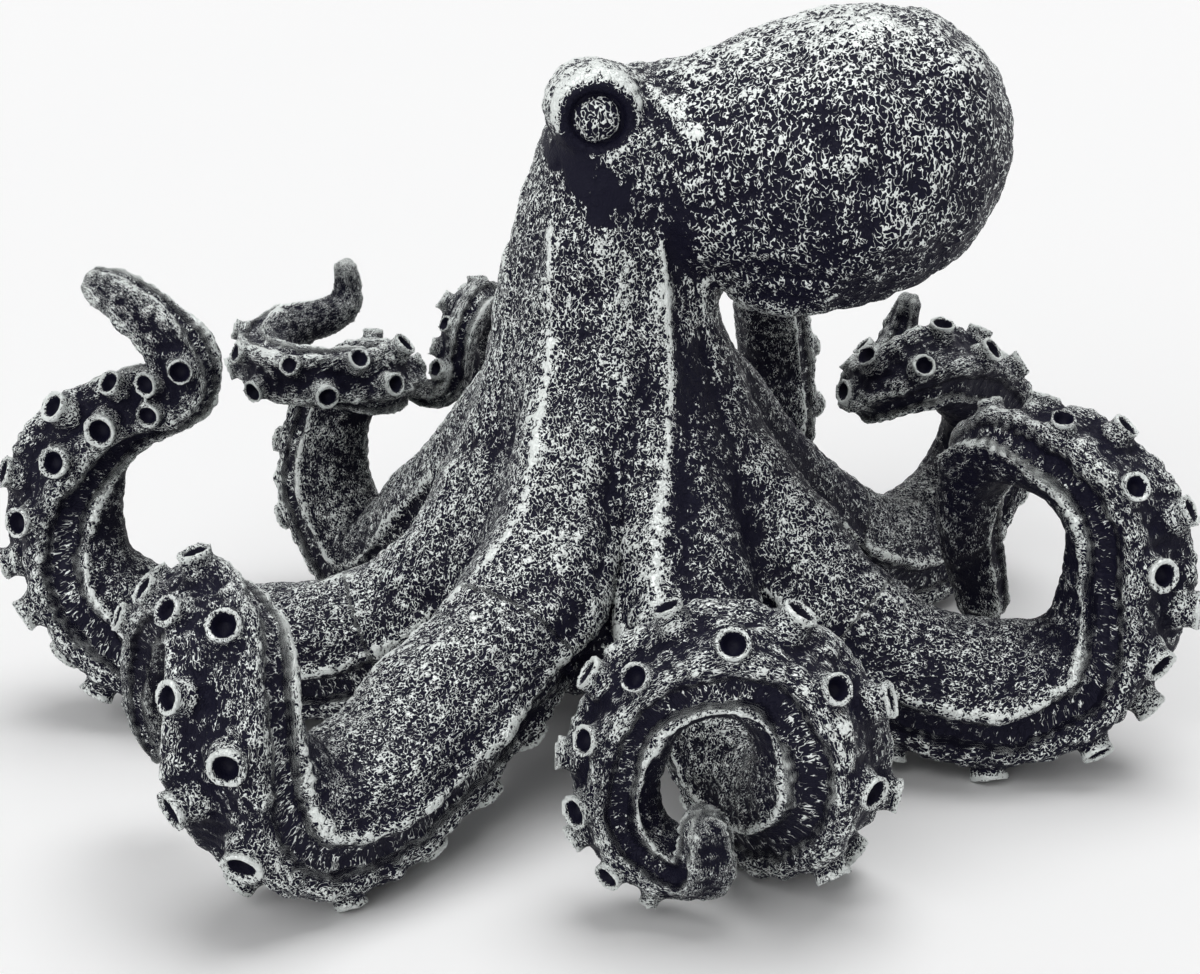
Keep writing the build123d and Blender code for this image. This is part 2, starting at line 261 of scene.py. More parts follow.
# Crests: how far each arm's crown is drawn up into an edge, where on its route that ends, how far
# to the side it moves, and how far it reaches down either side. Then the shares of the route
# over which it moves, how gently it ends, and between which heights it fades on the neck
CRESTS = {
    "front_left_arm": (1.8, 0.50, -0.60, 0.60, 0.95),
    "front_arm": (1.8, 0.34, -0.62, 0.62, 0.30),
}
OTHER_CREST = (1.2, 0.34, 0, 0.95, 0.95)
CREST_TURN = {"front_left_arm": (0.22, 0.42), "front_arm": (0.0, 0.30)}
OTHER_TURN = (0, 1)
CREST_FADE = 0.10
CREST_HEIGHTS = (100, 110)

# A crest's silver edge, and on the sharp ones the painted shade on the side next to it
EDGE_WIDTH = 0.05
CREST_SHADE_BEGINS = (0.04, 0.14)
CREST_SHADE_ENDS = (0.5, 1.1)

# How strong the flank ridge of each arm is, at which angle over its side it stands, how wide in
# degrees, and the angles at which the sunk band under it begins and ends
FLANKS = {"front_left_arm": 0.2, "front_arm": 1.0, "right_arm": 0.75}
OTHER_FLANK = 0.55
FLANK_ANGLE = 8
FLANK_WIDTH = 3.0
BAND_LOW = (-34, -28)
BAND_HIGH = (-4, 2)
SOLE_ANGLES = (-44, -38)

# Web that fills the fork of the two front arms: the side of each arm that it is on, where it
# starts there, the shares of the route over which it comes and goes, and its height
WEB_FILL = {"front_left_arm": 1, "front_arm": -1}
WEB_ACROSS = (0.25, 1.05)
WEB_COMES = (0.02, 0.14)
WEB_GOES = (0.30, 0.38)
WEB_BLURS = 24
WEB_RISE = 3.4

# Heights of the other forms that are pushed out along the normals
FLANK_RISE = 0.50
BAND_SINK = 0.22
SOLE_RISE = 0.26
WORM_RISE = 0.12

# Dry brush: the silver that a level place gets, and what other places get more or less, with
# painted light and shade among them
LEVEL = 0.385
ON_FINE_RIDGE = 0.20
# Broad ridges: more silver on them, and painted shade in the broad hollows between and under the
# arms
BROAD_RIDGE_AND_HOLLOW_SHADE = 0.30
# Faces turned up: partly the brush from above, partly painted light on top and painted shade
# underneath
FACING_UP_LIGHT_AND_SHADE = 0.15
ON_MANTLE = -0.06
# Mantle's top: partly heavier silver, partly a painted highlight where the top light falls
MANTLE_TOP_SILVER_AND_HIGHLIGHT = 0.24
ON_MANTLE_END = -0.07
# Painted shade on the neck's side turned away from the front light
NECK_SHADE_SIDE = -0.27
IN_FILLET = 0.32
# Painted shade inside the curls
SHADE_IN_CURL = -0.15
ON_ARM = -0.06
ON_SOLE = -0.08
ON_BAND = 0.08
ON_FLANK = 0.22
ON_BROW = 0.10
# Painted shade on the steep side beside the sharp crests
SHADE_BESIDE_CREST = -0.20
ON_CREST = {"front_left_arm": 0.42, "front_arm": 0.30, "right_arm": 0.08}
ON_OTHER_CREST = 0.16
ON_LIP = (0.74, 0.20)
ON_EYEBALL = 0.50

# Arms in painted shade, darker from some share of their route on: by how much, and where that
# sets in
SHADED_ARMS = {"rear_right_arm": (0.14, 0.42, 0.56), "right_arm": (0.10, 0.30, 0.45)}
NOT_SHADED = (0, 0, 1)

# Grain: its scale on the body, and on the arms round and along them, what it gains or loses on
# their bands, and how far apart two arms' grains are
BODY_GRAIN = (1, 1, 0.72)
GRAIN_ROUND = 15
GRAIN_ALONG = 0.85
BAND_GRAIN_UP = 0.75
BAND_GRAIN_ALONG = 0.35
GRAIN_APART = 40

# Paint: the ground coat and the silver, the noise scale and line width of the fine and of the
# coarse worms, and the shares of worms, blobs and specks in the grain's relief
GROUND_COAT = (0.0065, 0.0062, 0.0170, 1)
SILVER = (0.86, 0.90, 0.88, 1)
FINE_WORM = (1.42, 0.084)
COARSE_WORM = (1.00, 0.082)
WORM_SHARE = 0.55
BLOB_SHARE = 0.17
SPECK_SHARE = 0.28

# Where the mantle begins, its far end, and the fillet between the neck and the mantle
MANTLE_X = (8, 26)
MANTLE_Z = (84, 98)
MANTLE_END_X = (55, 82)
NECK_TOP_Z = (78, 90)
FILLET = (17, -14, 91)
FILLET_RADII = (11, 14, 9)


def cubic(knots, rows, shares):
    """A smooth curve through rows at knots, read at shares: positions and directions."""
    knots, rows = np.array(knots, float), np.array(rows, float)
    step = np.diff(knots)[:, None]
    slope = np.diff(rows, axis=0) / step
    count = len(rows)
    matrix, right = np.zeros((count, count)), np.zeros_like(rows)
    matrix[0, 0] = matrix[-1, -1] = 1
    right[0] = slope[0] + (slope[0] - slope[1]) * step[0] / (step[0] + step[1])
    right[-1] = slope[-1] + (slope[-1] - slope[-2]) * step[-1] / (step[-1] + step[-2])
    for i in range(1, count - 1):
        matrix[i, i - 1 : i + 2] = step[i, 0], 2 * (step[i - 1, 0] + step[i, 0]), step[i - 1, 0]
        right[i] = 3 * (step[i] * slope[i - 1] + step[i - 1] * slope[i])
    lean = np.linalg.solve(matrix, right)
    k = np.clip(np.searchsorted(knots, shares, side="right") - 1, 0, count - 2)
    t = ((shares - knots[k]) / step[k, 0])[:, None]
    span = step[k]
    place = (
        (2 * t**3 - 3 * t**2 + 1) * rows[k] + (t**3 - 2 * t**2 + t) * span * lean[k]
        + (3 * t**2 - 2 * t**3) * rows[k + 1] + (t**3 - t**2) * span * lean[k + 1]
    )
    direction = (
        (6 * t**2 - 6 * t) * (rows[k] - rows[k + 1]) / span
        + (3 * t**2 - 4 * t + 1) * lean[k] + (3 * t**2 - 2 * t) * lean[k + 1]
    )
    return place, direction


def unit(vectors):
    return vectors / np.linalg.norm(vectors, axis=-1, keepdims=True)


class Route:
    """An arm's line with its frame: back points to the crown, side across, ahead to the tip."""

    def __init__(self, seam_share, rows):
        table = np.array(rows)
        points = NECK + table[:, :3] * (SIDE_REACH, DEPTH_REACH, HEIGHT)
        knots = np.concatenate([[0], np.cumsum(np.linalg.norm(np.diff(points, axis=0), axis=1))])
        knots /= knots[-1]
        shares = np.linspace(0, 1, STATIONS * FINE + 1)
        self.at, direction = cubic(knots, points, shares)
        self.ahead = unit(direction)
        girths = np.interp(shares, knots, table[:, 3])
        self.half = np.maximum(girths * ARM_THICKNESS / 2, LEAST_HALF)
        self.back = np.zeros_like(self.at)
        back = (points[3] - points[0]) * (1, 1, 0)
        for i, ahead in enumerate(self.ahead):
            back = unit(back - ahead * back.dot(ahead))
            self.back[i] = back
        roll = np.radians(np.interp(shares, knots, table[:, 4]))[:, None]
        side = np.cross(self.back, self.ahead)
        self.side = np.cos(roll) * side + np.sin(roll) * self.back
        self.back = np.cos(roll) * self.back - np.sin(roll) * side
        self.seam = round(seam_share * STATIONS) * FINE
        steps = np.linalg.norm(np.diff(self.at, axis=0), axis=1)
        self.along = np.concatenate([[0], np.cumsum(steps)])

    def skin(self):
        """The bare arm as a closed tube, rounded off at its tip."""
        half_rows = np.array(HALF_SECTION)
        other = half_rows[-2:0:-1] * (-1, 1)
        section = np.concatenate([half_rows, other])
        rings = [
            at + half * (section[:, :1] * side + section[:, 1:] * back)
            for at, half, side, back in zip(self.at, self.half, self.side, self.back)
        ]
        for share in (0.45, 0.8, 0.97):
            shrink = math.sqrt(1 - share**2)
            reach = self.at[-1] + self.ahead[-1] * self.half[-1] * share
            rings.append(reach + shrink * (rings[len(self.at) - 1] - self.at[-1]))
        return tube(rings)

    def root_skin(self):
        """The arm's root, from inside the neck to a little past the seam."""
        vertices, faces = self.skin()
        sides = len(HALF_SECTION) * 2 - 2
        return tube(list(vertices.reshape(-1, sides, 3)[: self.seam + 2 * FINE]))

    def cups(self, seed):
        """Foot, outward direction, a direction across it, and radius of each cup."""
        dice = np.random.RandomState(seed)
        first = self.seam // FINE + 1
        picks = [i * FINE for i in range(first, STATIONS + 1 - CUPLESS_TIP_STATIONS)]
        places, walked, due, turn = [], 0, 0, 1
        for i, j in zip(picks, picks[1:]):
            stretch = np.linalg.norm(self.at[j] - self.at[i])
            radius = CUP_LEAST_RADIUS + CUP_GROWTH * self.half[i]
            while due <= walked + stretch:
                share = (due - walked) / stretch
                middle = self.at[i] * (1 - share) + self.at[j] * share
                out = unit(-self.back[i] * (1 - share) - self.back[j] * share)
                across = unit(self.side[i] * (1 - share) + self.side[j] * share)
                girth = self.half[i] * (1 - share) + self.half[j] * share
                foot = middle + out * (girth * CUP_FOOT) + across * (turn * girth * CUP_ROW)
                lean = math.cos(CUP_SPLAY) * out + math.sin(CUP_SPLAY) * turn * across
                lean += dice.normal(scale=CUP_TILT_SPREAD, size=3)
                grown = 1 + dice.uniform(-CUP_SIZE_SPREAD, CUP_SIZE_SPREAD)
                places.append((foot, unit(lean), self.ahead[i], radius * grown))
                due += radius * CUP_PITCH
                turn = -turn
            walked += stretch
        return places


def tube(rings):
    """A closed skin over a stack of rings with equal counts: vertices and faces."""
    count, sides = len(rings), len(rings[0])
    faces = [
        (i + k, i + (k + 1) % sides, i + sides + (k + 1) % sides, i + sides + k)
        for i in range(0, (count - 1) * sides, sides)
        for k in range(sides)
    ]
    faces.append(tuple(range(sides))[::-1])
    faces.append(tuple((count - 1) * sides + k for k in range(sides)))
    return np.concatenate(rings), faces


def circle(sides):
    turn = np.arange(sides) * 2 * math.pi / sides
    return np.cos(turn)[:, None], np.sin(turn)[:, None]


def cup_skin(foot, out, ahead, radius):
    side = np.cross(out, ahead)
    ahead = np.cross(side, out)
    cos, sin = circle(CUP_SIDES)
    grown = radius / CUP_FULL_RADIUS
    rings = [
        foot + out * (rise * CUP_STAND * grown) + radius * share * (cos * ahead + sin * side)
        for share, rise in CUP_PROFILE
    ]
    return tube(rings)


def neck_skin():
    table = np.array(NECK_ROWS)
    heights = np.linspace(table[0, 0], table[-1, 0], NECK_RINGS)
    rows, _ = cubic(table[:, 0], table[:, 1:], heights)
    cos, sin = circle(NECK_SIDES)
    x, y = np.array((1.0, 0, 0)), np.array((0, 1.0, 0))
    rings = [
        NECK + (shift * NECK_HALF, 0, height * HEIGHT)
        + NECK_HALF * (wide * cos * x + deep * sin * y)
        for height, (shift, wide, deep) in zip(heights, rows)
    ]
    return tube(rings)


def mantle_skin():
    table = np.array(MANTLE_ROWS)
    alongs = np.linspace(table[0, 0], table[-1, 0], MANTLE_RINGS)
    rows, _ = cubic(table[:, 0], table[:, 1:], alongs)
    cos, sin = circle(NECK_SIDES)
    y, z = np.array((0, 1.0, 0)), np.array((0, 0, 1.0))
    rings = [
        NECK + (MANTLE_FRONT + along * MANTLE_LENGTH, 0, height * HEIGHT)
        + girth * MANTLE_HALF * (cos * y + sin * z)
        for along, (height, girth) in zip(alongs, rows)
    ]
    return tube(rings)


def lip_skin():
    cos, sin = circle(NECK_SIDES)
    x, y = np.array((1.0, 0, 0)), np.array((0, 1.0, 0))
    rings = []
    for rise, spread in ((0, 0.94), (0.6, 1.0), (LIP_RISE, LIP_SPREAD)):
        middle = NECK + (LIP_X, 0, LIP_Z + rise)
        rings.append(middle + spread / 2 * (LIP_LENGTH * cos * x + LIP_WIDTH * sin * y))
    return tube(rings)


def eye_frame(depth_share, height_share):
    """Which way along Y an eye looks, and the middle of its brow's foot."""
    outward = math.copysign(1, depth_share)
    return outward, NECK + (EYE_X, depth_share * DEPTH_REACH, height_share * HEIGHT)


def brow_skin(eye):
    outward, foot = eye_frame(*eye)
    cos, sin = circle(NECK_SIDES)
    x, y, z = np.eye(3)
    rings = [
        foot + y * outward * rise * BROW_HEIGHT
        + BROW_RADIUS * share * (cos * x + outward * sin * z)
        for rise, share in DOME
    ]
    return tube(rings)


def saddle_skin():
    cos, sin = circle(NECK_SIDES)
    x, y, z = np.eye(3)
    rings = [
        NECK + SADDLE + math.sin(turn) * SADDLE_RADII[2] * z
        + math.cos(turn) * (SADDLE_RADII[0] * cos * x + SADDLE_RADII[1] * sin * y)
        for turn in np.radians(np.linspace(-80, 80, 17))
    ]
    return tube(rings)


def closed_over_floor(vertices, faces):
    """The part of a closed skin above the floor, closed again there."""
    if vertices[:, 2].min() >= FLOOR:
        return vertices, faces
    bm = bmesh.new()
    corners = [bm.verts.new(v) for v in vertices]
    for face in faces:
        bm.faces.new([corners[i] for i in face])
    everything = bm.verts[:] + bm.edges[:] + bm.faces[:]
    cut = bmesh.ops.bisect_plane(
        bm,
        geom=everything,
        dist=1e-4,
        plane_co=(0, 0, FLOOR),
        plane_no=(0, 0, -1),
        clear_outer=True,
    )
    rim = [e for e in cut["geom_cut"] if isinstance(e, bmesh.types.BMEdge)]
    bmesh.ops.holes_fill(bm, edges=rim, sides=0)
    bm.verts.index_update()
    kept = np.array([v.co[:] for v in bm.verts]).reshape(-1, 3)
    kept_faces = [tuple(v.index for v in f.verts) for f in bm.faces]
    bm.free()
    return kept, kept_faces


def joined(skins):
    vertices, faces, start = [], [], 0
    for skin_vertices, skin_faces in skins:
        if not len(skin_vertices):
            continue
        vertices.append(skin_vertices)
        faces += [tuple(i + start for i in face) for face in skin_faces]
        start += len(skin_vertices)
    return np.concatenate(vertices), faces


def remeshed(vertices, faces, size):
    """One skin around all the closed skins, in even quads, as vertex and quad arrays."""
    mesh = bpy.data.meshes.new("rough")
    mesh.from_pydata(vertices.tolist(), [], faces)
    rough = bpy.data.objects.new("rough", mesh)
    bpy.context.scene.collection.objects.link(rough)
    remesh = rough.modifiers.new("skin", "REMESH")
    remesh.mode = "VOXEL"
    remesh.voxel_size = size
    evaluated = rough.evaluated_get(bpy.context.evaluated_depsgraph_get())
    skin = evaluated.to_mesh()
    places = np.empty(len(skin.vertices) * 3, np.float32)
    skin.vertices.foreach_get("co", places)
    corners = np.empty(len(skin.loops), np.int32)
    skin.loops.foreach_get("vertex_index", corners)
    evaluated.to_mesh_clear()
    bpy.data.objects.remove(rough)
    bpy.data.meshes.remove(mesh)
    return places.reshape(-1, 3).astype(float), corners.reshape(-1, 4)


class Skin:
    """The sculpted skin: places, quads, and what is worked out over them."""

    def __init__(self, places, quads):
        self.at = places
        self.quads = quads
        pairs = np.concatenate([quads[:, [i, (i + 1) % 4]] for i in range(4)])
        self.one, self.other = pairs[:, 0], pairs[:, 1]
        self.count = len(places)
        self.shared = np.bincount(pairs.ravel(), minlength=self.count)

    def mean(self, values):
        """Each vertex's mean over its neighbours."""
        if values.ndim > 1:
            return np.stack([self.mean(values[:, i]) for i in range(values.shape[1])], axis=1)
        total = np.bincount(self.one, values[self.other], self.count)
        total += np.bincount(self.other, values[self.one], self.count)
        return total / self.shared

    def blurred(self, values, times):
        for _ in range(times):
            values = (values + self.mean(values)) / 2
        return values

    def normals(self):
        a, b, c, d = (self.at[self.quads[:, i]] for i in range(4))
        face = np.cross(c - a, d - b)
        total = np.zeros_like(self.at)
        for i in range(4):
            for axis in range(3):
                total[:, axis] += np.bincount(self.quads[:, i], face[:, axis], self.count)
        return total / np.maximum(np.linalg.norm(total, axis=1, keepdims=True), 1e-9)


def waves(places, wavelength, seed, count=40):
    """A smooth random field with one wavelength and about unit spread, the same on every run."""
    dice = np.random.RandomState(seed)
    directions = unit(dice.normal(size=(count, 3))) * 2 * math.pi / wavelength
    phases = dice.uniform(0, 2 * math.pi, count)
    total = np.zeros(len(places))
    for direction, phase in zip(directions, phases):
        total += np.cos(places @ direction + phase)
    return total * math.sqrt(2 / count)


def mixed_waves(places, rows):
    return sum(rise * waves(places, wavelength, seed) for wavelength, seed, rise in rows)


def soft_step(low, high, values):
    share = np.clip((values - low) / (high - low), 0, 1)
    return share * share * (3 - 2 * share)


def bell(values, width):
    return np.exp(-((values / width) ** 2))


def beside_line(places, start, end):
    """How far each place in a plane is from the line between two others."""
    start, end = np.array(start), np.array(end)
    share = np.clip((places - start) @ (end - start) / ((end - start) ** 2).sum(), 0, 1)
    return np.linalg.norm(places - start - share[:, None] * (end - start), axis=1)


def nearest_station(places, names):
    """For each place, the arm whose route is nearest for its thickness, and the station there."""
    stations = np.concatenate([routes[name].at for name in names]).astype(np.float32)
    girths = np.concatenate([routes[name].half for name in names]).astype(np.float32)
    lengths = (stations**2).sum(1)
    arm, station, reach = [], [], []
    owners = np.repeat(np.arange(len(names)), STATIONS * FINE + 1)
    for start in range(0, len(places), 20000):
        part = places[start : start + 20000].astype(np.float32)
        gap = (part**2).sum(1)[:, None] + lengths - 2 * part @ stations.T
        gap = np.sqrt(np.maximum(gap, 0)) / girths
        best = gap.argmin(1)
        arm.append(owners[best])
        station.append(best % (STATIONS * FINE + 1))
        reach.append(gap[np.arange(len(part)), best])
    return np.concatenate(arm), np.concatenate(station), np.concatenate(reach)


def of_arm(table, other):
    """For each vertex, its arm's value in a table, or the other value."""
    return np.array([table.get(name, other) for name in names])[arm]


routes = {name: Route(*rows) for name, rows in ARMS.items()}
cups = {name: route.cups(seed) for seed, (name, route) in enumerate(routes.items())}
names = list(ARMS)

# The core of the animal first, coarse and well blurred, so that its forms run into each other
core = [neck_skin(), mantle_skin()]
core += [closed_over_floor(*route.root_skin()) for route in routes.values()]
core = Skin(*remeshed(*joined(core), CORE_VOXEL))
core.at = core.blurred(core.at, CORE_BLURS)

# Then the whole skin: the core, the lip, the crown, the brows, and the arms with their cups
skins = [(core.at, core.quads.tolist()), lip_skin(), saddle_skin()]
skins += [brow_skin(eye) for eye in EYES]
for name, route in routes.items():
    skins.append(closed_over_floor(*route.skin()))
    skins += [closed_over_floor(*cup_skin(*cup)) for cup in cups[name]]
skin = Skin(*remeshed(*joined(skins), VOXEL))

# Where each vertex is along its arm, and which casting it belongs to
arm, station, reach = nearest_station(skin.at, names)
part = np.full(skin.count, -1)
along, across, up = (np.zeros(skin.count) for _ in range(3))
for k, name in enumerate(names):
    route = routes[name]
    mine = np.flatnonzero(arm == k)
    i = station[mine]
    away = skin.at[mine] - route.at[i]
    along[mine] = route.along[i] + (away * route.ahead[i]).sum(1)
    across[mine] = (away * route.side[i]).sum(1) / route.half[i]
    up[mine] = (away * route.back[i]).sum(1) / route.half[i]
    past = ((skin.at[mine] - route.at[route.seam]) * route.ahead[route.seam]).sum(1) > 0
    beyond = (i > route.seam + FINE) | (past & (i > route.seam - FINE))
    part[mine[beyond & (reach[mine] < ARM_REACH)]] = k
run = station / (STATIONS * FINE)

# Cups: their lips, their hollows, and the ground just round them
lip, hollow, cup_near = (np.zeros(skin.count) for _ in range(3))
for k, name in enumerate(names):
    mine = np.flatnonzero((arm == k) & (up < 0.3))
    for foot, out, _, radius in cups[name]:
        away = skin.at[mine] - foot
        rise = away @ out
        wide = np.linalg.norm(away - rise[:, None] * out, axis=1) / radius
        rise = rise / (CUP_STAND * radius / CUP_FULL_RADIUS)
        at_cup = (rise > CUP_SPAN[0]) & (rise < CUP_SPAN[1])
        ring = soft_step(*LIP_INSIDE, wide) * (1 - soft_step(*LIP_OUTSIDE, wide))
        ring = ring * soft_step(*LIP_BOTTOM, rise) * at_cup
        deep = (1 - soft_step(*HOLLOW_WALL, wide)) * (1 - soft_step(*HOLLOW_TOP, rise)) * at_cup
        near = (1 - soft_step(*CUP_GROUND, wide)) * at_cup
        lip[mine] = np.maximum(lip[mine], ring)
        hollow[mine] = np.maximum(hollow[mine], deep)
        cup_near[mine] = np.maximum(cup_near[mine], near)

# Round off what the cubes of the mesh leave, less at the cups
sharp = CUP_SHARPNESS * cup_near[:, None]
skin.at = skin.blurred(skin.at, SKIN_BLURS) * (1 - sharp) + skin.blurred(skin.at, 1) * sharp

# Eyes: a socket sunk in each brow, with the ball in it
eye_ball, eye_ring = np.zeros(skin.count), np.zeros(skin.count)
for eye in EYES:
    outward, foot = eye_frame(*eye)
    away = skin.at - foot
    rise = away[:, 1] * outward
    wide = np.hypot(away[:, 0] / EYE_OVAL, away[:, 2])
    here = (rise > 0.5 * BROW_HEIGHT) & (wide < BROW_RADIUS)
    floor_rise = BROW_HEIGHT - SOCKET_DEPTH
    dome = EYEBALL_HEIGHT * np.sqrt(np.maximum(1 - (wide / EYEBALL_RADIUS) ** 2, 0))
    wall = soft_step(EYEBALL_RADIUS + 0.3, SOCKET_RADIUS, wide)
    socket = floor_rise * (1 - wall) + wall * rise
    target = np.where(wide < EYEBALL_RADIUS, floor_rise + dome, socket)
    inside = here & (wide < SOCKET_RADIUS) & (rise > target)
    skin.at[inside, 1] = (foot[1] + outward * target)[inside]
    ball = 1 - soft_step(EYEBALL_RADIUS - 0.4, EYEBALL_RADIUS + 0.2, wide)
    ring = soft_step(EYEBALL_RADIUS - 0.2, EYEBALL_RADIUS + 0.4, wide)
    ring = ring * (1 - soft_step(SOCKET_RADIUS - 0.4, SOCKET_RADIUS + 0.8, wide))
    eye_ball[here] = np.maximum(eye_ball, ball)[here]
    eye_ring[here] = np.maximum(eye_ring, ring)[here]
skin.at = skin.blurred(skin.at, 1)
normal = skin.normals()

# The rim round each eye, and the ridge that trails back from it
brow = np.zeros(skin.count)
for eye in EYES:
    outward, foot = eye_frame(*eye)
    away = skin.at - foot
    wide = np.hypot(away[:, 0], away[:, 2])
    facing = soft_step(2, 5, away[:, 1] * outward + 4)
    above = soft_step(-0.5, 0.5, away[:, 2] / np.maximum(wide, 0.1))
    over = RIM_LOW_SHARE + (1 - RIM_LOW_SHARE) * above
    trail = beside_line(away[:, [0, 2]], *TRAIL)
    brow = np.maximum(brow, RIM_RISE * facing * over * bell(wide - RIM_RADIUS, RIM_WIDTH))
    brow = np.maximum(brow, TRAIL_RISE * facing * bell(trail, TRAIL_WIDTH))

# The smooth patch that the worm grain leaves free under the near eye
patch = beside_line(skin.at[:, [0, 2]], *PATCH) + mixed_waves(skin.at, PATCH_RAGGED)
bare = (1 - soft_step(*PATCH_HALF, patch)) * (skin.at[:, 1] < NECK[1] - 3)

# Crests along the crowns, the painted shade beside the sharp ones, and the web between the front
# arms
crest, crest_edge, crest_shade, web = (np.zeros(skin.count) for _ in range(4))
for k, name in enumerate(names):
    rise, end, shift, left, right = CRESTS.get(name, OTHER_CREST)
    beside = across - shift * soft_step(*CREST_TURN.get(name, OTHER_TURN), run)
    there = (arm == k) * soft_step(0.0, 0.5, up) * (1 - soft_step(end, end + CREST_FADE, run))
    there = there * (1 - soft_step(*CREST_HEIGHTS, skin.at[:, 2]))
    tent = np.clip(1 - np.where(beside < 0, -beside / left, beside / right), 0, 1)
    crest = np.maximum(crest, rise * tent * there)
    crest_edge = np.maximum(crest_edge, bell(beside, EDGE_WIDTH) * there * min(rise / 2, 1))
    # On the sharp crests, painted shade on the steep side that falls away
    if right < left:
        shade = soft_step(*CREST_SHADE_BEGINS, beside) * (1 - soft_step(*CREST_SHADE_ENDS, beside))
        crest_shade = np.maximum(crest_shade, there * shade)
    if name in WEB_FILL:
        inner = soft_step(*WEB_ACROSS, across * WEB_FILL[name]) * (arm == k)
        span = soft_step(*WEB_COMES, run) * (1 - soft_step(*WEB_GOES, run))
        web = np.maximum(web, inner * span)
crest = skin.blurred(crest, 2)
web = skin.blurred(web * soft_step(-0.5, 0.0, up), WEB_BLURS)

# Flank ridges with a sunk band under each, and the rough sole
lean = np.degrees(np.arctan2(up, np.abs(across))) + mixed_waves(skin.at, FLANK_RAGGED)
own = soft_step(*ARM_OWN, run) * (reach < ARM_REACH) * (1 - cup_near)
flank = own * of_arm(FLANKS, OTHER_FLANK) * bell(lean - FLANK_ANGLE, FLANK_WIDTH)
band = own * soft_step(*BAND_LOW, lean) * (1 - soft_step(*BAND_HIGH, lean))
sole = own * (1 - soft_step(*SOLE_ANGLES, lean))

# All of these forms, with lumps and worms, pushed out along the normals
calm = np.maximum.reduce([cup_near, eye_ring, bare])
worms = np.clip(waves(skin.at, *WORMS, count=60), -1.4, 1.4)
bumps = np.abs(waves(skin.at, *BUMPS))
height = mixed_waves(skin.at, LUMPS) * (1 - 0.8 * calm) + WORM_RISE * worms * (1 - calm)
height += crest + brow + WEB_RISE * web
height += FLANK_RISE * flank - BAND_SINK * band + SOLE_RISE * sole * (bumps - 0.8)
skin.at += normal * (height * soft_step(0.5, 2.5, skin.at[:, 2]))[:, None]
skin.at[:, 2] = np.maximum(skin.at[:, 2], FLOOR)
normal = skin.normals()

# Dry brush: ridges and rims catch silver, hollows and folds stay dark, with painted light and
# shade from how the faces turn and in the broad hollows
fine_ridge = ((skin.at - skin.blurred(skin.at, 8)) * normal).sum(1)
broad_ridge = ((skin.at - skin.blurred(skin.at, 70)) * normal).sum(1)
# Faces turned up get more silver and faces turned down less: partly the brush from above, partly
# painted light on top and painted shade underneath
brush_light_and_shade = LEVEL + FACING_UP_LIGHT_AND_SHADE * normal[:, 2]
brush_light_and_shade += ON_FINE_RIDGE * np.clip(fine_ridge / 0.22, -1, 1)
# Partly silver on the broad ridges, partly painted shade in the broad hollows between and under
# the arms
brush_light_and_shade += BROAD_RIDGE_AND_HOLLOW_SHADE * np.clip(broad_ridge / 1.0, -1, 1)

# On the body: the mantle's top with its painted highlight, its end, the painted shade on the
# neck's right side, and the fillet under the mantle
mantle = soft_step(*MANTLE_X, skin.at[:, 0]) * soft_step(*MANTLE_Z, skin.at[:, 2])
top_patches = np.clip(0.8 + 0.3 * waves(skin.at, *MANTLE_TOP_PATCHES), 0, 1.3)
brush_light_and_shade += ON_MANTLE * mantle + ON_MANTLE_END * mantle * soft_step(*MANTLE_END_X, skin.at[:, 0])
# The mantle's top gets more silver where it faces up, partly heavier brushing and partly a
# painted highlight from the top light, in broad patches
brush_light_and_shade += MANTLE_TOP_SILVER_AND_HIGHLIGHT * mantle * soft_step(0.35, 0.95, normal[:, 2]) * top_patches
# Painted shade on the neck under the mantle, on its right side, turned away from the front light
below = (part < 0) * (1 - soft_step(*NECK_TOP_Z, skin.at[:, 2]))
brush_light_and_shade += NECK_SHADE_SIDE * soft_step(0.15, 0.80, normal[:, 0]) * below
from_fillet = np.linalg.norm((skin.at - NECK - FILLET) / FILLET_RADII, axis=1)
brush_light_and_shade += IN_FILLET * (part < 0) * bell(from_fillet, 1)

# On the arms: painted shade inside the curls, beside the sharp crests and on the shaded arms,
# then soles, bands, flank ridges and crests
shaded, sets_in, full = of_arm(SHADED_ARMS, NOT_SHADED).T
broken = np.clip(0.65 + 0.35 * waves(skin.at, *BROKEN), 0.1, 1)
# Painted shade on the backs inside the curls
brush_light_and_shade += SHADE_IN_CURL * soft_step(0.50, 0.66, run) * soft_step(0.1, 0.6, up) * own
# Painted shade on the shaded arms, from where it sets in along them
brush_light_and_shade += (ON_ARM - shaded * soft_step(sets_in, full, run)) * own
brush_light_and_shade += ON_SOLE * sole + ON_BAND * band + ON_FLANK * flank * broken
# Silver on the crest edges, and painted shade on the steep side beside the sharp crests
brush_light_and_shade += of_arm(ON_CREST, ON_OTHER_CREST) * crest_edge * broken + SHADE_BESIDE_CREST * crest_shade
brush_light_and_shade += ON_BROW * np.clip(brow, 0, 1)

# At the cups and the eyes, and on the smooth patch
brush_light_and_shade = brush_light_and_shade * (1 - lip) + (ON_LIP[0] + ON_LIP[1] * broken) * lip
brush_light_and_shade = brush_light_and_shade * (1 - hollow) * (1 - eye_ring)
brush_light_and_shade = brush_light_and_shade * (1 - eye_ball) + ON_EYEBALL * eye_ball
brush_light_and_shade = np.clip(brush_light_and_shade * (1 - PATCH_SMOOTHNESS * bare), 0, 1.1)

# What the paint reads of each vertex: its silver with the painted light and shade in it, where it
# has no grain, where that is coarse
marks = {
    "brush_light_and_shade": brush_light_and_shade,
    "bare": np.maximum(PATCH_SMOOTHNESS * bare, hollow),
    "coarse": np.maximum(mantle, eye_ball),
}

